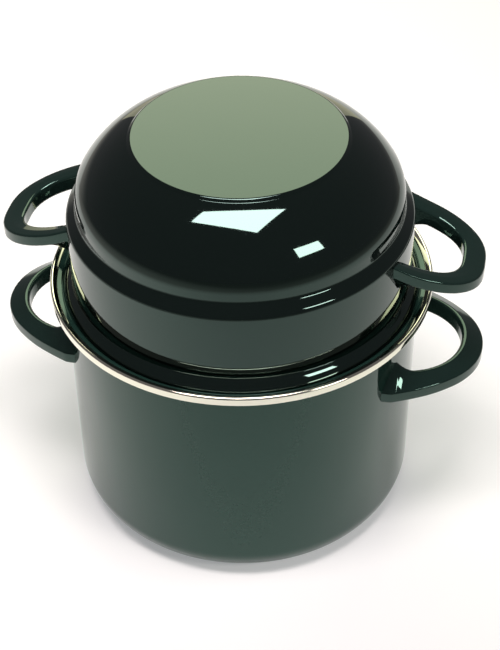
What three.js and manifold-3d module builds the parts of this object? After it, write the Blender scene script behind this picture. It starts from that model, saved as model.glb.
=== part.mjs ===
// Mussel pot: a straight enamelled steel pot with a clamped steel rim, and a deep lid
// that stands on its flat top as a bowl when it is turned over.
// Millimetres, +Z up. The origin is the centre of the pot's base, on the table.
// +X runs through the handles.

import * as THREE from 'three';
import { mergeVertices } from 'three/addons/utils/BufferGeometryUtils.js';
import Module from 'manifold-3d';

const wasm = await Module();
wasm.setup();

// Shared
const SHEET = 1.4; // enamelled sheet
const GAP = 0.3; // air left between neighbouring pieces
const DIAGONAL = Math.SQRT1_2; // the seat and the lid's edge lie at 45 degrees
const FACETS = 60; // facets round the axis
const BEND_STEP = 20; // most degrees to a chord of a bend
const ARC_STEP = 5; // longest chord of a bend

// Pot, outside of the sheet
const POT_RADIUS = 100;
const POT_WALL = 144.4; // height where the upright wall ends
const POT_CORNER = 19.5; // rounding between the base and the wall
const SEAT_WIDTH = 1.75; // sloping seat that carries the lid's edge
const SEAT_BEND = 1;
const LIP_WIDTH = 3.45; // lip beyond the seat
const LIP_RISE = 0.5; // the lip climbs this much to its end
const LIP_BEND = 1.6;

// Steel rim, a strip bent to a C round the lip
const RIM_SHEET = 0.9;
const RIM_INSET = 2; // the strip leaves this much of the lip bare inside
const RIM_RISE = 2.5; // the strip climbs this much from its inner edge to the crest
const RIM_REACH = 2.7; // its upright side stands this far outside the lip's end
const RIM_BEND = 0.3; // inside the strip
const RIM_TUCK = 2.8; // the lower leaf reaches this far in under the lip

// Lid, outside of the sheet
const EDGE_OVERHANG = 0.4; // the lid's edge reaches this far beyond the pot's wall
const FLANGE_WIDTH = 5; // rounded flange from the skirt out to the edge
const FLANGE_RISE = 6;
const FLANGE_FOOT_BEND = 0.8;
const BROW_INSET = 2; // the flange turns down this far inside the edge
const BROW_RISE = 3.3;
const BROW_BEND = 15;
const SKIRT_HEIGHT = 46.4; // from the edge to the foot of the shoulder
const SHOULDER_BEND = 4;
const SHOULDER_WIDTH = 5.7;
const SHOULDER_RISE = 5.3;
const DOME_FOOT_BEND = 3;
const DOME_FOOT = 11.4; // upright foot of the dome
const FOOT_BEND = 21;
const HAUNCH_WIDTH = 13.47; // steep lower part of the dome
const HAUNCH_RISE = 20.74;
const DOME_BEND = 62.4;
const CROWN_WIDTH = 16.73; // flatter upper part of the dome
const CROWN_RISE = 7.7;
const STEP_FOOT_BEND = 0.8;
const STEP_WIDTH = 1.7; // slope from the dome up to the flat top
const STEP_RISE = 1.56;
const STEP_BEND = 0.2; // inside the sheet

// Handles: thick sloping straps bent to a loop, all four with the same section
const OPENING_SINK = 11.5; // the finger opening's centre lies this far inside the wall
const ARM_WIDTH = 10.1;
const TIP_WIDTH = 12.5; // the strap is wider at the tip
const TIP_FOCUS = 4; // how closely the extra width gathers at the tip
const HALF_HEIGHT = 6.6;
const OUTER_WALL = 6.9; // upright outer side of the strap
const INNER_WALL = 12; // upright inner side of the strap
const UNDERSIDE = 4.8; // flat part of the strap's narrow side
const INNER_EDGE = 2.5; // rounding where the inner side meets the sloping face
const EDGE_STEP = 27; // degrees to a chord of that rounding
const SMALL_EDGE = 1.2;
const FLARE_LENGTH = 10.3; // the arms deepen over this distance from the wall
const FLARE_RISE = 11.5; // added at the wall on the side of the sloping face
const FLARE_DROP = 1; // added at the wall on the narrow side
const FLARE_POWER = 1.5; // 1 is a straight gusset, more is hollower
const LOOP_END = 106; // degrees from the tip to the end inside the wall
const LOOP_STEPS = 48;
const POT_HANDLE_DROP = 31.5; // middle of the pot's straps below the top of its wall
const POT_OPENING_REACH = 38.2; // half length of the opening, away from the pot
const POT_OPENING_HALF = 33.3; // half width of the opening, along the wall
const POT_OPENING_POWER = 2.1; // 2 is an ellipse, more is squarer
const POT_SPREAD = 5; // added at the wall to the width of the pot's straps
const SPREAD_LENGTH = 24; // they widen over this distance from the wall
const LID_HANDLE_RISE = 33.4; // middle of the lid's straps above its edge
const LID_HANDLE_ANGLE = 18.3; // fall towards the tip, in degrees
const LID_OPENING_REACH = 38.8;
const LID_OPENING_HALF = 25.3;
const LID_OPENING_POWER = 2.9;

// Colours
const ENAMEL = { color: 0x0f1f1b, roughness: 0.1, metalness: 0 };
const STEEL = { color: 0xd8d4c4, roughness: 0.2, metalness: 1 };

// Line through corners [radius, height, bend]. A bend that its straights can't hold is
// drawn in until they can.
function bentLine(corners) {
  const spots = corners.map(([r, z]) => new THREE.Vector2(r, z));
  const runs = spots.slice(1).map((spot, i) => spot.clone().sub(spots[i]));
  const turns = spots.map((spot, i) => {
    const ends = i === 0 || i === runs.length;
    return ends ? 0 : Math.atan2(runs[i - 1].cross(runs[i]), runs[i - 1].dot(runs[i]));
  });
  const tangents = corners.map(([, , bend = 0], i) => bend * Math.tan(Math.abs(turns[i]) / 2));
  const shares = runs.map((run, i) => Math.min(1, run.length() / (tangents[i] + tangents[i + 1])));
  return corners.flatMap(([, , bend = 0], i) => {
    if (!bend) {
      return [spots[i]];
    }
    const share = Math.min(shares[i - 1], shares[i]);
    const first = spots[i].clone().addScaledVector(runs[i - 1].clone().normalize(), -share * tangents[i]);
    const side = new THREE.Vector2(-runs[i - 1].y, runs[i - 1].x).normalize();
    const radius = share * bend * Math.sign(turns[i]);
    const centre = first.clone().addScaledVector(side, radius);
    const arc = Math.abs(turns[i]);
    const chords = Math.ceil(Math.max(THREE.MathUtils.radToDeg(arc) / BEND_STEP, arc * share * bend / ARC_STEP));
    return Array.from({ length: chords + 1 }, (_, k) => first.clone().rotateAround(centre, turns[i] * k / chords));
  });
}

// The same line moved sideways; positive distances go to its right.
function shifted(line, distance) {
  const runs = line.slice(1).map((point, i) => point.clone().sub(line[i]).normalize());
  return line.map((point, i) => {
    const into = runs[Math.max(i - 1, 0)];
    const out = runs[Math.min(i, runs.length - 1)];
    const along = into.clone().add(out).normalize();
    const side = new THREE.Vector2(along.y, -along.x);
    const moved = point.clone().addScaledVector(side, distance / along.dot(out));
    if (point.x === 0) {
      moved.x = 0;
    }
    return moved;
  });
}

// Outline of a sheet; its inside lies to the right of the line, or to the left if negative.
function sheetOutline(line, thickness) {
  return [...line, ...shifted(line, thickness).reverse()];
}

function revolve(outline) {
  const upward = THREE.ShapeUtils.isClockWise(outline) ? [...outline].reverse() : outline;
  const geometry = new THREE.LatheGeometry(upward, FACETS);
  geometry.rotateX(Math.PI / 2);
  return geometry;
}

function toSolid(geometry) {
  const bare = geometry.clone();
  bare.deleteAttribute('normal');
  bare.deleteAttribute('uv');
  const merged = mergeVertices(bare, 1e-4);
  return new wasm.Manifold(new wasm.Mesh({
    numProp: 3,
    vertProperties: new Float32Array(merged.attributes.position.array),
    triVerts: new Uint32Array(merged.index.array),
  }));
}

function toGeometry(solid) {
  const mesh = solid.getMesh();
  const geometry = new THREE.BufferGeometry();
  geometry.setAttribute('position', new THREE.BufferAttribute(new Float32Array(mesh.vertProperties), 3));
  geometry.setIndex(new THREE.BufferAttribute(new Uint32Array(mesh.triVerts), 1));
  geometry.computeVertexNormals();
  return geometry;
}

// Section of the strap: [distance out from the opening, height], anticlockwise.
function strapSection(width, flare) {
  const top = HALF_HEIGHT + FLARE_RISE * flare;
  const bottom = -HALF_HEIGHT - FLARE_DROP * flare;
  const brow = bottom + OUTER_WALL;
  const section = [
    [0, HALF_HEIGHT - INNER_WALL],
    [width - UNDERSIDE, bottom],
    [width - SMALL_EDGE, bottom],
    [width, bottom + SMALL_EDGE],
    [width, brow - SMALL_EDGE / 2],
    [width - SMALL_EDGE / 2, brow + SMALL_EDGE / 2],
  ];
  for (let degrees = 180 - 5 * EDGE_STEP; degrees <= 180; degrees += EDGE_STEP) {
    const angle = THREE.MathUtils.degToRad(degrees);
    section.push([INNER_EDGE * (1 + Math.cos(angle)), top - INNER_EDGE * (1 - Math.sin(angle))]);
  }
  return section;
}

// Edge of the finger opening at an angle from the tip: [place, direction away from it].
function openingEdge({ wall, reach, half, power }, angle) {
  const across = Math.cos(angle);
  const along = Math.sin(angle);
  const centre = wall - OPENING_SINK;
  if (across <= 0) {
    const side = Math.sign(along);
    return [new THREE.Vector2(centre + reach * across, half * side), new THREE.Vector2(0, side)];
  }
  const size = (across ** power + Math.abs(along) ** power) ** (-1 / power);
  const x = across * size;
  const y = along * size;
  const slope = [x ** (power - 1) / reach, Math.sign(y) * Math.abs(y) ** (power - 1) / half];
  return [new THREE.Vector2(centre + reach * x, half * y), new THREE.Vector2(...slope).normalize()];
}

// 1 at the wall, falling to 0 at a length from it.
function nearness(distance, length) {
  return THREE.MathUtils.clamp(1 - distance / length, 0, 1) ** FLARE_POWER;
}

// Loop handle with its ends run into the wall.
function handleLoop(handle) {
  const corners = [];
  for (let step = 0; step <= LOOP_STEPS; step += 1) {
    const angle = THREE.MathUtils.degToRad(LOOP_END) * (2 * step / LOOP_STEPS - 1);
    const [edge, away] = openingEdge(handle, angle);
    const even = ARM_WIDTH + (TIP_WIDTH - ARM_WIDTH) * Math.max(away.x, 0) ** TIP_FOCUS;
    const distance = edge.clone().addScaledVector(away, even / 2).length() - handle.wall;
    const width = even + handle.spread * nearness(distance, SPREAD_LENGTH);
    const ring = strapSection(width, nearness(distance, FLARE_LENGTH)).map(([out, up]) => {
      const spot = edge.clone().addScaledVector(away, out);
      const level = handle.height - handle.droop * (spot.x - handle.wall);
      return [spot.x, spot.y, level + (handle.faceUp ? up : -up)];
    });
    corners.push(handle.faceUp ? ring : ring.reverse());
  }
  const count = corners[0].length;
  const triangles = [];
  for (let step = 0; step < LOOP_STEPS; step += 1) {
    for (let k = 0; k < count; k += 1) {
      const here = step * count + k;
      const side = step * count + (k + 1) % count;
      triangles.push(here, here + count, side, side, here + count, side + count);
    }
  }
  const end = LOOP_STEPS * count;
  for (let k = 1; k < count - 1; k += 1) {
    triangles.push(0, k, k + 1, end, end + k + 1, end + k);
  }
  const geometry = new THREE.BufferGeometry();
  geometry.setAttribute('position', new THREE.Float32BufferAttribute(corners.flat(2), 3));
  geometry.setIndex(triangles);
  return geometry;
}

function named(name, geometry, look) {
  const mesh = new THREE.Mesh(geometry, new THREE.MeshStandardMaterial(look));
  mesh.name = name;
  return mesh;
}

// Two handles on opposite sides, cut back to stand just off the wall.
function handlePair(prefix, handle, wall) {
  const right = toGeometry(toSolid(handleLoop(handle)).subtract(toSolid(wall)));
  const left = right.clone().rotateZ(Math.PI);
  return [named(`${prefix}_left`, left, ENAMEL), named(`${prefix}_right`, right, ENAMEL)];
}

// Pot: flat base, rounded corner, upright wall, seat cone and lip
const lipStart = POT_RADIUS + SEAT_WIDTH;
const lipEnd = lipStart + LIP_WIDTH;
const lipHeight = POT_WALL + SEAT_WIDTH;
const potLine = bentLine([
  [0, 0],
  [POT_RADIUS, 0, POT_CORNER],
  [POT_RADIUS, POT_WALL, SEAT_BEND],
  [lipStart, lipHeight, LIP_BEND],
  [lipEnd, lipHeight + LIP_RISE],
]);
const potBody = revolve(sheetOutline(potLine, -SHEET));
const potCutter = revolve([
  new THREE.Vector2(0, POT_WALL),
  new THREE.Vector2(POT_RADIUS + GAP, POT_WALL),
  new THREE.Vector2(POT_RADIUS + GAP, 0),
  new THREE.Vector2(0, 0),
]);

// Rim: upper leaf, crest, outer side and lower leaf
const rimTop = lipHeight + SHEET + GAP + RIM_SHEET;
const rimFoot = lipHeight - GAP - RIM_SHEET;
const rimLine = bentLine([
  [lipStart + RIM_INSET, rimTop + (LIP_RISE * RIM_INSET) / LIP_WIDTH],
  [lipEnd + RIM_REACH, rimTop + RIM_RISE, RIM_BEND + RIM_SHEET],
  [lipEnd + RIM_REACH, rimFoot, RIM_BEND + RIM_SHEET],
  [lipEnd - RIM_TUCK, rimFoot],
]);
const rimOutline = sheetOutline(rimLine, RIM_SHEET);
const potRim = revolve([...rimOutline, rimOutline[0]]);

// Lid: flat top, step, dome, shoulder, upright skirt and rounded flange
const edgeRadius = POT_RADIUS + EDGE_OVERHANG;
const edgeHeight = POT_WALL + EDGE_OVERHANG + (SHEET + GAP) / DIAGONAL;
const skirtRadius = edgeRadius - FLANGE_WIDTH;
const skirtTop = edgeHeight + SKIRT_HEIGHT;
const domeRadius = skirtRadius - SHOULDER_WIDTH;
const domeBottom = skirtTop + SHOULDER_RISE;
const haunchFoot = domeBottom + DOME_FOOT;
const crownRadius = domeRadius - HAUNCH_WIDTH;
const crownFoot = haunchFoot + HAUNCH_RISE;
const stepRadius = crownRadius - CROWN_WIDTH;
const stepFoot = crownFoot + CROWN_RISE;
const lidTop = stepFoot + STEP_RISE;
const lidLine = bentLine([
  [0, lidTop],
  [stepRadius - STEP_WIDTH, lidTop, STEP_BEND + SHEET],
  [stepRadius, stepFoot, STEP_FOOT_BEND],
  [crownRadius, crownFoot, DOME_BEND],
  [domeRadius, haunchFoot, FOOT_BEND],
  [domeRadius, domeBottom, DOME_FOOT_BEND],
  [skirtRadius, skirtTop, SHOULDER_BEND],
  [skirtRadius, edgeHeight + FLANGE_RISE, FLANGE_FOOT_BEND],
  [edgeRadius - BROW_INSET, edgeHeight + BROW_RISE, BROW_BEND],
  [edgeRadius, edgeHeight],
]);
const lidShell = revolve(sheetOutline(lidLine, SHEET));
const lidWall = shifted(lidLine, -GAP);
const lidCutter = revolve([...lidWall, new THREE.Vector2(0, lidWall.at(-1).y)]);

const potHandle = {
  wall: POT_RADIUS,
  height: POT_WALL - POT_HANDLE_DROP,
  reach: POT_OPENING_REACH,
  half: POT_OPENING_HALF,
  power: POT_OPENING_POWER,
  spread: POT_SPREAD,
  droop: 0,
  faceUp: true,
};
const lidHandle = {
  wall: skirtRadius,
  height: edgeHeight + LID_HANDLE_RISE,
  reach: LID_OPENING_REACH,
  half: LID_OPENING_HALF,
  power: LID_OPENING_POWER,
  spread: 0,
  droop: Math.tan(THREE.MathUtils.degToRad(LID_HANDLE_ANGLE)),
  faceUp: false,
};

const pot = new THREE.Group();
pot.name = 'mussel_pot';
pot.add(
  named('pot_body', potBody, ENAMEL),
  named('pot_rim', potRim, STEEL),
  ...handlePair('pot_handle', potHandle, potCutter),
  named('lid_shell', lidShell, ENAMEL),
  ...handlePair('lid_handle', lidHandle, lidCutter),
);

export default pot;
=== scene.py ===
import math

import bmesh
import bpy
from mathutils import Matrix, Quaternion, Vector


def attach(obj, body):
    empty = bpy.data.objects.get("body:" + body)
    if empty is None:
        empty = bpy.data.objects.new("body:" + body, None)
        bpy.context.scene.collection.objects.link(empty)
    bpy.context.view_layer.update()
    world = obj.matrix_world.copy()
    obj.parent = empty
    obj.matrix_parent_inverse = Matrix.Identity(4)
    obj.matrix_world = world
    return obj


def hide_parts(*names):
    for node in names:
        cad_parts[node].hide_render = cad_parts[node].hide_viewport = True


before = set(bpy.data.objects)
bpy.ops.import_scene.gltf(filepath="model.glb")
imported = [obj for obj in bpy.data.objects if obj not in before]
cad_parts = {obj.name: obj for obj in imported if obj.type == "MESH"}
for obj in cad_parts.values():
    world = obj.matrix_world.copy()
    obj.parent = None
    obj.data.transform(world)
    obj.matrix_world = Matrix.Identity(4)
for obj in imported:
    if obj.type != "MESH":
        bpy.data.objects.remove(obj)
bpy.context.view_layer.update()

# Sizes in millimetres, the same values as the solids

MM = 0.001
SHEET = 1.4
GAP = 0.3
DIAGONAL = math.sqrt(0.5)

POT_RADIUS = 100.0
POT_WALL = 144.4
POT_CORNER = 19.5
SEAT_WIDTH = 1.75
SEAT_BEND = 1.0
LIP_WIDTH = 3.45
LIP_RISE = 0.5
LIP_BEND = 1.6

RIM_SHEET = 0.9
RIM_RISE = 2.5
RIM_REACH = 2.7
RIM_BEND = 0.3
RIM_TUCK = 2.8
RIM_INSET = 2.0  # the strip leaves this much of the lip bare inside

EDGE_OVERHANG = 0.4
FLANGE_WIDTH = 5.0
FLANGE_RISE = 6.0
FLANGE_FOOT_BEND = 0.8
BROW_INSET = 2.0
BROW_RISE = 3.3
BROW_BEND = 15.0
SKIRT_HEIGHT = 46.4
SHOULDER_BEND = 4.0
SHOULDER_WIDTH = 5.7
SHOULDER_RISE = 5.3
DOME_FOOT_BEND = 3.0
DOME_FOOT = 11.4
FOOT_BEND = 21.0
HAUNCH_WIDTH = 13.47
HAUNCH_RISE = 20.74
DOME_BEND = 62.4
CROWN_WIDTH = 16.73
CROWN_RISE = 7.7
STEP_FOOT_BEND = 0.8
STEP_WIDTH = 1.7
STEP_RISE = 1.56
STEP_BEND = 0.2

OPENING_SINK = 11.5
ARM_WIDTH = 10.1
TIP_WIDTH = 12.5
TIP_FOCUS = 4
HALF_HEIGHT = 6.6
OUTER_WALL = 6.9
INNER_WALL = 12.0
UNDERSIDE = 4.8
INNER_EDGE = 2.5
SMALL_EDGE = 1.2
NARROW_EDGE = 2.0  # rounding along the strap's narrow side
FLARE_LENGTH = 10.3
FLARE_RISE = 11.5
FLARE_DROP = 1.0
FLARE_POWER = 1.5
SPREAD_LENGTH = 24.0
POT_HANDLE_DROP = 31.5
POT_OPENING_REACH = 38.2
POT_OPENING_HALF = 33.3
POT_OPENING_POWER = 2.1
POT_SPREAD = 5.0
LID_HANDLE_RISE = 33.4
LID_HANDLE_ANGLE = 18.3
LID_OPENING_REACH = 38.8
LID_OPENING_HALF = 25.3
LID_OPENING_POWER = 2.9

# Fineness of the meshes

TURN_SEGMENTS = 240
BEND_STEP = 5.0
ARC_STEP = 1.6
LOOP_RINGS = 72
WELD_DEPTH = 0.4  # the handles' ends sink this far into the sheet they are welded to
SHEET_ROUND = 0.5  # rounding of the sheets' cut edges
END_RANGE = (40.0, 106.0)  # degrees from the tip between which the handles' ends lie
END_HALVINGS = 30
WELD_DISTANCE = 1e-6  # metres
DOUBLE_DISTANCE = 1e-7  # metres
SHEET_CREASE = 35  # degrees
STRAP_CREASE = 40  # degrees

# Colours: darker and lighter end, tint of the reflections, refractive index. The three greens are lit and
# shaded copies of one enamel: the pot's lighter, greener copy is painted light, and the straps' and the lid's
# darker copies are painted shade.

POT_GREEN_LIT_COPY = ((0.008, 0.025, 0.019, 1), (0.011, 0.031, 0.024, 1), (0.55, 1.0, 0.83, 1), 1.55)
STRAP_GREEN_SHADED_COPY = ((0.0055, 0.0135, 0.011, 1), (0.0075, 0.0175, 0.0145, 1), (0.6, 1.0, 0.85, 1), 1.6)
LID_GREEN_SHADED_COPY = ((0.0008, 0.0015, 0.0013, 1), (0.0014, 0.0026, 0.0022, 1), (0.64, 1.0, 0.88, 1), 1.65)
# the steel's cream tint is a painted reflection of a cream table top; the spread between the two ends is
# random grain
STEEL_DARK = (0.76, 0.75, 0.63, 1)
STEEL_LIGHT = (0.85, 0.84, 0.71, 1)
STEEL_STRETCH = 0.004  # draws the steel's grain out along the strip
TABLE_DARK = (0.7, 0.74, 0.71, 1)
TABLE_LIGHT = (0.74, 0.78, 0.75, 1)
FLOOR_GREY = (0.46, 0.455, 0.44, 1)

# Floor, in metres: a pale oval round the pot on a grey ground

FLOOR_HALF = 10.0
TABLE_HALF_WIDTH = 0.75
TABLE_HALF_LENGTH = 0.97
TABLE_MIDDLE = 0.6
TABLE_FADE = (0.95, 1.12)  # share of the oval's radius
TABLE_GLOW = 0.3
FLOOR_GLOW = 0.07

# Camera, in metres

CAMERA_PLACE = Vector((0.1363, -0.6479, 0.6814))
CAMERA_AIM = Vector((0.0043, 0.0009, 0.1070))
CAMERA_ROLL = -0.73
CAMERA_LENS = 83.08
SENSOR_WIDTH = 36.0


# Profiles

def bent_line(corners):
    """Points of a line through corners (x, y, bend), with the bends as fine arcs."""
    spots = [Vector(corner[:2]) for corner in corners]
    bends = [corner[2] if len(corner) > 2 else 0.0 for corner in corners]
    count = len(spots)
    line = []
    for i, spot in enumerate(spots):
        if not bends[i]:
            line.append(spot)
            continue
        into = (spot - spots[i - 1]).normalized()
        out = (spots[(i + 1) % count] - spot).normalized()
        turn = math.atan2(into.x * out.y - into.y * out.x, into.dot(out))
        bend = bends[i]
        first = spot - into * bend * math.tan(abs(turn) / 2)
        centre = first + Vector((-into.y, into.x)) * math.copysign(bend, turn)
        chords = math.ceil(max(math.degrees(abs(turn)) / BEND_STEP, abs(turn) * bend / ARC_STEP, 2))
        for k in range(chords + 1):
            spoke = first - centre
            spoke.rotate(Matrix.Rotation(turn * k / chords, 2))
            line.append(centre + spoke)
    return line


def shifted(line, distance):
    """The same line moved sideways; positive distances go to its right."""
    runs = [(b - a).normalized() for a, b in zip(line, line[1:])]
    moved = []
    for i, point in enumerate(line):
        into = runs[max(i - 1, 0)]
        out = runs[min(i, len(runs) - 1)]
        along = (into + out).normalized()
        spot = point + Vector((along.y, -along.x)) * (distance / along.dot(out))
        if point.x == 0:
            spot.x = 0
        moved.append(spot)
    return moved


def sheet_outline(line, thickness, round_start=False):
    """Outline of a bent sheet, with its free cut edges rounded."""
    far = list(reversed(shifted(line, thickness)))
    tip = bent_line([line[-2], (*line[-1], SHEET_ROUND), (*far[0], SHEET_ROUND), far[1]])[1:-1]
    outline = line[:-1] + tip + far[1:]
    if round_start:
        tail = bent_line([far[-2], (*far[-1], SHEET_ROUND), (*line[0], SHEET_ROUND), line[1]])[1:-1]
        outline = outline[1:-1] + tail
        outline.append(outline[0])
    return outline


# Geometry Nodes: a sheet turned round the pot's axis

def add_nodes(tree, **kinds):
    return {name: tree.nodes.new(kind) for name, kind in kinds.items()}


def math_node(tree, operation, first, second=None):
    node = tree.nodes.new("ShaderNodeMath")
    node.operation = operation
    for socket, value in zip(node.inputs, (first, second)):
        if isinstance(value, bpy.types.NodeSocket):
            tree.links.new(value, socket)
        elif value is not None:
            socket.default_value = value
    return node.outputs[0]


def distance_node(tree, x, y):
    squares = [math_node(tree, "MULTIPLY", value, value) for value in (x, y)]
    return math_node(tree, "SQRT", math_node(tree, "ADD", *squares))


def turned_sheet_tree():
    tree = bpy.data.node_groups.new("turned_sheet", "GeometryNodeTree")
    face = tree.interface
    face.new_socket("Outline", in_out="INPUT", socket_type="NodeSocketGeometry")
    face.new_socket("Segments", in_out="INPUT", socket_type="NodeSocketInt")
    face.new_socket("Weld Distance", in_out="INPUT", socket_type="NodeSocketFloat")
    face.new_socket("Finish", in_out="INPUT", socket_type="NodeSocketMaterial")
    face.new_socket("Sheet", in_out="OUTPUT", socket_type="NodeSocketGeometry")
    n = add_nodes(
        tree, given="NodeGroupInput", result="NodeGroupOutput",
        size="GeometryNodeAttributeDomainSize", grid="GeometryNodeMeshGrid",
        index="GeometryNodeInputIndex", place="GeometryNodeInputPosition",
        sample="GeometryNodeSampleIndex", split="ShaderNodeSeparateXYZ",
        join="ShaderNodeCombineXYZ", move="GeometryNodeSetPosition",
        weld="GeometryNodeMergeByDistance", smooth="GeometryNodeSetShadeSmooth",
        real="GeometryNodeRealizeInstances", paint="GeometryNodeSetMaterial",
    )
    link = tree.links.new
    given = n["given"].outputs
    link(given["Outline"], n["size"].inputs["Geometry"])
    rows = n["size"].outputs["Point Count"]
    columns = math_node(tree, "ADD", given["Segments"], 1.0)
    link(columns, n["grid"].inputs["Vertices X"])
    link(rows, n["grid"].inputs["Vertices Y"])
    index = n["index"].outputs[0]
    row = math_node(tree, "MODULO", index, rows)
    column = math_node(tree, "FLOOR", math_node(tree, "DIVIDE", index, rows))
    turn = math_node(tree, "MULTIPLY", column, math_node(tree, "DIVIDE", math.tau, given["Segments"]))
    n["sample"].data_type = "FLOAT_VECTOR"
    link(given["Outline"], n["sample"].inputs["Geometry"])
    link(n["place"].outputs[0], n["sample"].inputs["Value"])
    link(row, n["sample"].inputs["Index"])
    link(n["sample"].outputs[0], n["split"].inputs[0])
    radius = n["split"].outputs["X"]
    link(math_node(tree, "MULTIPLY", radius, math_node(tree, "COSINE", turn)), n["join"].inputs["X"])
    link(math_node(tree, "MULTIPLY", radius, math_node(tree, "SINE", turn)), n["join"].inputs["Y"])
    link(n["split"].outputs["Z"], n["join"].inputs["Z"])
    link(n["grid"].outputs["Mesh"], n["move"].inputs["Geometry"])
    link(n["join"].outputs[0], n["move"].inputs["Position"])
    link(n["move"].outputs[0], n["weld"].inputs["Geometry"])
    link(given["Weld Distance"], n["weld"].inputs["Distance"])
    link(n["weld"].outputs[0], n["smooth"].inputs[0])
    link(n["smooth"].outputs[0], n["real"].inputs[0])
    link(n["real"].outputs[0], n["paint"].inputs["Geometry"])
    link(given["Finish"], n["paint"].inputs["Material"])
    link(n["paint"].outputs[0], n["result"].inputs["Sheet"])
    return tree


def set_input(modifier, name, value):
    for item in modifier.node_group.interface.items_tree:
        if item.item_type == "SOCKET" and item.in_out == "INPUT" and item.name == name:
            modifier[item.identifier] = value


def new_object(name, mesh):
    piece = bpy.data.objects.new(name, mesh)
    bpy.context.scene.collection.objects.link(piece)
    return piece


def outward(mesh, crease):
    """Turns the faces outwards, smooths them and keeps edges sharper than crease degrees."""
    shape = bmesh.new()
    shape.from_mesh(mesh)
    bmesh.ops.remove_doubles(shape, verts=shape.verts, dist=DOUBLE_DISTANCE)
    bmesh.ops.dissolve_degenerate(shape, dist=DOUBLE_DISTANCE, edges=shape.edges)
    bmesh.ops.recalc_face_normals(shape, faces=shape.faces)
    shape.to_mesh(mesh)
    shape.free()
    mesh.shade_smooth()
    mesh.set_sharp_from_angle(angle=math.radians(crease))


def turned_piece(name, outline, tree, finish):
    seed = bpy.data.meshes.new(name + "_outline")
    points = [(spot.x * MM, 0.0, spot.y * MM) for spot in outline]
    seed.from_pydata(points, [(i, i + 1) for i in range(len(points) - 1)], [])
    maker = new_object(name + "_maker", seed)
    modifier = maker.modifiers.new("turn", "NODES")
    modifier.node_group = tree
    set_input(modifier, "Segments", TURN_SEGMENTS)
    set_input(modifier, "Weld Distance", WELD_DISTANCE)
    set_input(modifier, "Finish", finish)
    graph = bpy.context.evaluated_depsgraph_get()
    mesh = bpy.data.meshes.new_from_object(maker.evaluated_get(graph))
    bpy.data.objects.remove(maker)
    bpy.data.meshes.remove(seed)
    mesh.name = name
    outward(mesh, SHEET_CREASE)
    return new_object(name, mesh)


# Handles

def strap_section(width, flare):
    """Section of the strap: (distance out from the opening, height), anticlockwise."""
    top = HALF_HEIGHT + FLARE_RISE * flare
    bottom = -HALF_HEIGHT - FLARE_DROP * flare
    return bent_line([
        (0.0, HALF_HEIGHT - INNER_WALL, NARROW_EDGE),
        (width - UNDERSIDE, bottom, NARROW_EDGE),
        (width, bottom, SMALL_EDGE),
        (width, bottom + OUTER_WALL, SMALL_EDGE),
        (0.0, top, INNER_EDGE),
    ])


def opening_edge(handle, angle):
    """Edge of the finger opening at an angle from the tip, and the way that leads off it."""
    across, along = math.cos(angle), math.sin(angle)
    centre = handle["wall"] - OPENING_SINK
    reach, half, power = handle["reach"], handle["half"], handle["power"]
    if across <= 0:
        side = math.copysign(1.0, along)
        return Vector((centre + reach * across, half * side)), Vector((0.0, side))
    size = (across ** power + abs(along) ** power) ** (-1 / power)
    x, y = across * size, along * size
    slope = Vector((x ** (power - 1) / reach, math.copysign(abs(y) ** (power - 1), y) / half))
    return Vector((centre + reach * x, half * y)), slope.normalized()


def nearness(distance, length):
    """1 at the wall, falling to 0 at a length from it."""
    return min(max(1 - distance / length, 0.0), 1.0) ** FLARE_POWER


def strap_ring(handle, angle):
    edge, away = opening_edge(handle, angle)
    even = ARM_WIDTH + (TIP_WIDTH - ARM_WIDTH) * max(away.x, 0.0) ** TIP_FOCUS
    distance = (edge + away * even / 2).length - handle["wall"]
    width = even + handle["spread"] * nearness(distance, SPREAD_LENGTH)
    side = 1.0 if handle["face_up"] else -1.0
    ring = []
    for out, up in strap_section(width, nearness(distance, FLARE_LENGTH)):
        spot = edge + away * out
        level = handle["height"] - handle["droop"] * (spot.x - handle["wall"])
        ring.append(Vector((spot.x, spot.y, level + side * up)))
    return ring


def handle_piece(name, handle, turn, finish):
    """Loop handle whose two ends stop just inside the wall."""
    skin = handle["wall"] - WELD_DEPTH
    count = len(strap_ring(handle, 0.0))
    ends = {}
    for side in (-1.0, 1.0):
        for k in range(count):
            low, high = map(math.radians, END_RANGE)
            for _ in range(END_HALVINGS):
                middle = (low + high) / 2
                spot = strap_ring(handle, side * middle)[k]
                if spot.xy.length > skin:
                    low = middle
                else:
                    high = middle
            ends[side, k] = side * low
    rows = []
    for step in range(-LOOP_RINGS, LOOP_RINGS + 1):
        side = 1.0 if step > 0 else -1.0
        share = abs(step) / LOOP_RINGS
        rows.append([strap_ring(handle, ends[side, k] * share)[k] for k in range(count)])
    points = [spot * MM for row in rows for spot in row]
    faces = []
    for j in range(len(rows) - 1):
        for k in range(count):
            here, side = j * count + k, j * count + (k + 1) % count
            faces.append((here, here + count, side + count, side))
    last = (len(rows) - 1) * count
    faces.append(tuple(range(count)))
    faces.append(tuple(range(last, last + count)))
    mesh = bpy.data.meshes.new(name)
    mesh.from_pydata(points, [], faces)
    mesh.transform(Matrix.Rotation(turn, 4, "Z"))
    outward(mesh, STRAP_CREASE)
    mesh.materials.append(finish)
    return new_object(name, mesh)


# Finishes

def set_values(node, **values):
    for name, value in values.items():
        node.inputs[name.replace("_", " ")].default_value = value


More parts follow.
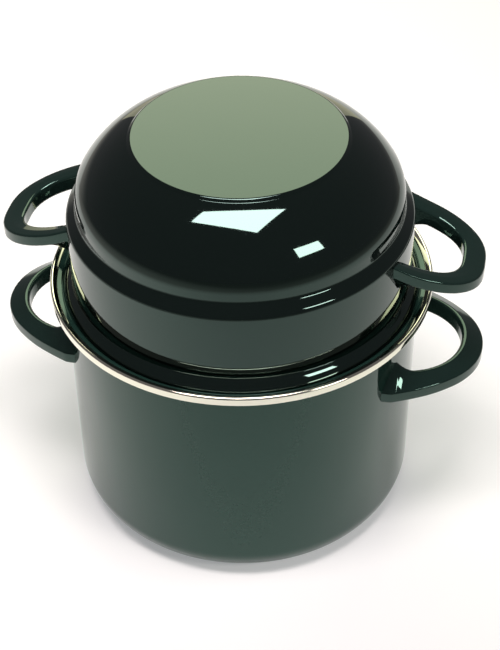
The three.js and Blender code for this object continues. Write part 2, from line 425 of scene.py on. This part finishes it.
def ripple_group():
    """Slow waves and fine grain of a fired or rolled surface."""
    tree = bpy.data.node_groups.new("surface_ripple", "ShaderNodeTree")
    face = tree.interface
    face.new_socket("Vector", in_out="INPUT", socket_type="NodeSocketVector")
    for name in ("Wave Scale", "Grain Scale", "Grain Share"):
        face.new_socket(name, in_out="INPUT", socket_type="NodeSocketFloat")
    face.new_socket("Height", in_out="OUTPUT", socket_type="NodeSocketFloat")
    face.new_socket("Mottle", in_out="OUTPUT", socket_type="NodeSocketFloat")
    n = add_nodes(tree, given="NodeGroupInput", result="NodeGroupOutput",
                  wave="ShaderNodeTexNoise", grain="ShaderNodeTexNoise")
    link = tree.links.new
    given = n["given"].outputs
    for name in ("wave", "grain"):
        link(given["Vector"], n[name].inputs["Vector"])
    link(given["Wave Scale"], n["wave"].inputs["Scale"])
    link(given["Grain Scale"], n["grain"].inputs["Scale"])
    set_values(n["wave"], Detail=1.0, Roughness=0.4)
    set_values(n["grain"], Detail=3.0, Roughness=0.6)
    grain = math_node(tree, "MULTIPLY", n["grain"].outputs["Fac"], given["Grain Share"])
    link(math_node(tree, "ADD", n["wave"].outputs["Fac"], grain), n["result"].inputs["Height"])
    link(n["grain"].outputs["Fac"], n["result"].inputs["Mottle"])
    return tree


def mixed(tree, factor, first, second):
    node = tree.nodes.new("ShaderNodeMix")
    node.data_type = "RGBA"
    tree.links.new(factor, node.inputs[0])
    node.inputs[6].default_value = first
    node.inputs[7].default_value = second
    return node.outputs[2]


def ranged(tree, value, low, high, start=0.3, stop=0.7):
    node = tree.nodes.new("ShaderNodeMapRange")
    tree.links.new(value, node.inputs["Value"])
    set_values(node, From_Min=start, From_Max=stop, To_Min=low, To_Max=high)
    return node.outputs["Result"]


def new_material(name):
    material = bpy.data.materials.new(name)
    material.use_nodes = True
    return material, material.node_tree, material.node_tree.nodes["Principled BSDF"]


def bumped(tree, height, strength, distance, shader):
    bump = tree.nodes.new("ShaderNodeBump")
    set_values(bump, Strength=strength, Distance=distance)
    tree.links.new(height, bump.inputs["Height"])
    tree.links.new(bump.outputs["Normal"], shader.inputs["Normal"])


def enamel_material(ripple, name, dark, light, tint, density):
    material, tree, shader = new_material(name)
    link = tree.links.new
    place = tree.nodes.new("ShaderNodeTexCoord").outputs["Object"]
    surface = tree.nodes.new("ShaderNodeGroup")
    surface.node_tree = ripple
    set_values(surface, Wave_Scale=28.0, Grain_Scale=420.0, Grain_Share=0.02)
    link(place, surface.inputs["Vector"])
    speck = tree.nodes.new("ShaderNodeTexVoronoi")
    set_values(speck, Scale=260.0, Randomness=1.0)
    link(place, speck.inputs["Vector"])
    link(mixed(tree, surface.outputs["Mottle"], dark, light), shader.inputs["Base Color"])
    link(ranged(tree, speck.outputs["Distance"], 0.07, 0.035, 0.0, 0.35), shader.inputs["Roughness"])
    set_values(shader, IOR=density)
    shader.inputs["Specular Tint"].default_value = tint
    bumped(tree, surface.outputs["Height"], 0.12, 0.0006, shader)
    return material


def steel_material(ripple):
    material, tree, shader = new_material("rim_steel")
    link = tree.links.new
    place = tree.nodes.new("ShaderNodeTexCoord").outputs["Object"]
    split = tree.nodes.new("ShaderNodeSeparateXYZ")
    link(place, split.inputs[0])
    x, y, z = split.outputs
    join = tree.nodes.new("ShaderNodeCombineXYZ")
    link(math_node(tree, "MULTIPLY", math_node(tree, "ARCTAN2", y, x), STEEL_STRETCH), join.inputs["X"])
    link(distance_node(tree, x, y), join.inputs["Y"])
    link(z, join.inputs["Z"])
    surface = tree.nodes.new("ShaderNodeGroup")
    surface.node_tree = ripple
    set_values(surface, Wave_Scale=700.0, Grain_Scale=3800.0, Grain_Share=0.6)
    link(join.outputs[0], surface.inputs["Vector"])
    link(mixed(tree, surface.outputs["Mottle"], STEEL_DARK, STEEL_LIGHT), shader.inputs["Base Color"])
    link(ranged(tree, surface.outputs["Mottle"], 0.03, 0.07), shader.inputs["Roughness"])
    set_values(shader, Metallic=1.0)
    bumped(tree, surface.outputs["Height"], 0.006, 0.0002, shader)
    return material


# Pieces

ripple = ripple_group()
# one green enamel in lit and shaded copies: painted light on the pot, painted shade on the straps and the lid
pot_enamel_lit_copy = enamel_material(ripple, "green_enamel_lit_copy", *POT_GREEN_LIT_COPY)
strap_enamel_shaded_copy = enamel_material(ripple, "strap_enamel_shaded_copy", *STRAP_GREEN_SHADED_COPY)
lid_enamel_shaded_copy = enamel_material(ripple, "green_enamel_shaded_copy", *LID_GREEN_SHADED_COPY)
steel = steel_material(ripple)
turned_sheet = turned_sheet_tree()

lip_start = POT_RADIUS + SEAT_WIDTH
lip_end = lip_start + LIP_WIDTH
lip_height = POT_WALL + SEAT_WIDTH
pot_line = bent_line([
    (0.0, 0.0),
    (POT_RADIUS, 0.0, POT_CORNER),
    (POT_RADIUS, POT_WALL, SEAT_BEND),
    (lip_start, lip_height, LIP_BEND),
    (lip_end, lip_height + LIP_RISE),
])
rim_top = lip_height + SHEET + GAP + RIM_SHEET
rim_foot = lip_height - GAP - RIM_SHEET
rim_line = bent_line([
    (lip_start + RIM_INSET, rim_top + LIP_RISE * RIM_INSET / LIP_WIDTH),
    (lip_end + RIM_REACH, rim_top + RIM_RISE, RIM_BEND + RIM_SHEET),
    (lip_end + RIM_REACH, rim_foot, RIM_BEND + RIM_SHEET),
    (lip_end - RIM_TUCK, rim_foot),
])
edge_radius = POT_RADIUS + EDGE_OVERHANG
edge_height = POT_WALL + EDGE_OVERHANG + (SHEET + GAP) / DIAGONAL
skirt_radius = edge_radius - FLANGE_WIDTH
skirt_top = edge_height + SKIRT_HEIGHT
dome_radius = skirt_radius - SHOULDER_WIDTH
dome_bottom = skirt_top + SHOULDER_RISE
haunch_foot = dome_bottom + DOME_FOOT
crown_radius = dome_radius - HAUNCH_WIDTH
crown_foot = haunch_foot + HAUNCH_RISE
step_radius = crown_radius - CROWN_WIDTH
step_foot = crown_foot + CROWN_RISE
lid_top = step_foot + STEP_RISE
lid_line = bent_line([
    (0.0, lid_top),
    (step_radius - STEP_WIDTH, lid_top, STEP_BEND + SHEET),
    (step_radius, step_foot, STEP_FOOT_BEND),
    (crown_radius, crown_foot, DOME_BEND),
    (dome_radius, haunch_foot, FOOT_BEND),
    (dome_radius, dome_bottom, DOME_FOOT_BEND),
    (skirt_radius, skirt_top, SHOULDER_BEND),
    (skirt_radius, edge_height + FLANGE_RISE, FLANGE_FOOT_BEND),
    (edge_radius - BROW_INSET, edge_height + BROW_RISE, BROW_BEND),
    (edge_radius, edge_height),
])
pot_handle = {
    "wall": POT_RADIUS, "height": POT_WALL - POT_HANDLE_DROP, "reach": POT_OPENING_REACH,
    "half": POT_OPENING_HALF, "power": POT_OPENING_POWER, "spread": POT_SPREAD, "droop": 0.0, "face_up": True,
}
lid_handle = {
    "wall": skirt_radius, "height": edge_height + LID_HANDLE_RISE, "reach": LID_OPENING_REACH,
    "half": LID_OPENING_HALF, "power": LID_OPENING_POWER, "spread": 0.0,
    "droop": math.tan(math.radians(LID_HANDLE_ANGLE)), "face_up": False,
}


def settle(piece, body, node):
    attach(piece, body)
    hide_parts(node)


settle(turned_piece("pot_sheet", sheet_outline(pot_line, -SHEET), turned_sheet, pot_enamel_lit_copy),
       "pot", "pot_body")
settle(turned_piece("rim_strip", sheet_outline(rim_line, RIM_SHEET, True), turned_sheet, steel),
       "pot", "pot_rim")
settle(turned_piece("lid_sheet", sheet_outline(lid_line, SHEET), turned_sheet, lid_enamel_shaded_copy),
       "lid", "lid_shell")
for side, turn in (("right", 0.0), ("left", math.pi)):
    settle(handle_piece("pot_strap_" + side, pot_handle, turn, strap_enamel_shaded_copy),
           "pot", "pot_handle_" + side)
    settle(handle_piece("lid_strap_" + side, lid_handle, turn, strap_enamel_shaded_copy),
           "lid", "lid_handle_" + side)


# Floor

def floor_material():
    """Pale table top that turns grey some way beyond the picture's edges."""
    material, tree, shader = new_material("pale_table")
    link = tree.links.new
    place = tree.nodes.new("ShaderNodeTexCoord").outputs["Object"]
    cloud = tree.nodes.new("ShaderNodeTexNoise")
    set_values(cloud, Scale=3.0, Detail=2.0)
    link(place, cloud.inputs["Vector"])
    split = tree.nodes.new("ShaderNodeSeparateXYZ")
    link(place, split.inputs[0])
    across = math_node(tree, "DIVIDE", split.outputs["X"], TABLE_HALF_WIDTH)
    along = math_node(tree, "SUBTRACT", split.outputs["Y"], TABLE_MIDDLE)
    along = math_node(tree, "DIVIDE", along, TABLE_HALF_LENGTH)
    pale = ranged(tree, distance_node(tree, across, along), 1.0, 0.0, *TABLE_FADE)
    table = tree.nodes.new("ShaderNodeMix")
    table.data_type = "RGBA"
    link(pale, table.inputs[0])
    table.inputs[6].default_value = FLOOR_GREY
    link(mixed(tree, cloud.outputs["Fac"], TABLE_DARK, TABLE_LIGHT), table.inputs[7])
    link(table.outputs[2], shader.inputs["Base Color"])
    set_values(shader, Roughness=0.9)
    shader.inputs["Specular IOR Level"].default_value = 0.0
    path = tree.nodes.new("ShaderNodeLightPath")
    seen = math_node(tree, "MAXIMUM", path.outputs["Is Camera Ray"], path.outputs["Is Glossy Ray"])
    seen = math_node(tree, "MAXIMUM", seen, path.outputs["Is Transmission Ray"])
    shader.inputs["Emission Color"].default_value = (0.97, 0.98, 1.0, 1.0)
    glow = ranged(tree, pale, FLOOR_GLOW, TABLE_GLOW, 0.0, 1.0)
    link(math_node(tree, "MULTIPLY", seen, glow), shader.inputs["Emission Strength"])
    return material


floor_mesh = bpy.data.meshes.new("table_top")
floor_mesh.from_pydata(
    [(-FLOOR_HALF, -FLOOR_HALF, 0), (FLOOR_HALF, -FLOOR_HALF, 0),
     (FLOOR_HALF, FLOOR_HALF, 0), (-FLOOR_HALF, FLOOR_HALF, 0)], [], [(0, 1, 2, 3)])
floor_mesh.materials.append(floor_material())
floor = new_object("table_top", floor_mesh)


# Lights

def softbox(name, centre, across, facing, width, height, radiance, colour):
    """Rectangular lamp; across is the way its width runs and facing the way it shines."""
    lamp = bpy.data.lights.new(name, "AREA")
    lamp.shape = "RECTANGLE"
    lamp.size = width
    lamp.size_y = height
    lamp.energy = radiance * math.pi * width * height
    lamp.color = colour
    holder = bpy.data.objects.new(name, lamp)
    bpy.context.scene.collection.objects.link(holder)
    back = -Vector(facing).normalized()
    right = Vector(across) - back * Vector(across).dot(back)
    right.normalize()
    up = back.cross(right)
    holder.matrix_world = Matrix.Translation(centre) @ Matrix((right, up, back)).transposed().to_4x4()
    holder.visible_camera = False


softbox("overhead_softbox", (-0.1438, -0.2802, 1.3109), (0.6345, 0.196, -0.7477),
        (-0.6782, 0.6053, -0.4169), 1.175, 0.361, 21.0, (1.0, 0.87, 0.89))
softbox("side_softbox", (0.9325, -0.5236, 0.8911), (0.1206, -0.0579, -0.991),
        (-0.6056, 0.7867, -0.1196), 0.21, 0.381, 20.0, (1.0, 0.91, 0.89))
softbox("back_panel", (-0.3, 1.45, 1.42), (1.0, 0.07, 0.0), (0.07, -0.98, -0.25), 1.2, 0.9,
        3.05, (1.0, 1.0, 0.72))
softbox("back_sheet", (-0.335, 1.45, 0.22), (1.0, 0.0, 0.0), (0.0, -1.0, 0.0), 1.23, 0.42,
        0.9, (1.0, 0.92, 0.62))

world = bpy.data.worlds.new("studio")
bpy.context.scene.world = world
world.use_nodes = True
world.node_tree.nodes["Background"].inputs["Color"].default_value = (1.0, 0.95, 1.0, 1.0)
world.node_tree.nodes["Background"].inputs["Strength"].default_value = 0.14

# Camera

lens = bpy.data.cameras.new("photo_camera")
lens.lens = CAMERA_LENS
lens.sensor_width = SENSOR_WIDTH
camera = bpy.data.objects.new("photo_camera", lens)
bpy.context.scene.collection.objects.link(camera)
aim = (CAMERA_AIM - CAMERA_PLACE).to_track_quat("-Z", "Y")
camera.rotation_mode = "QUATERNION"
camera.rotation_quaternion = aim @ Quaternion((0, 0, 1), math.radians(CAMERA_ROLL))
camera.location = CAMERA_PLACE
bpy.context.scene.camera = camera
bpy.context.scene.view_settings.view_transform = "Standard"
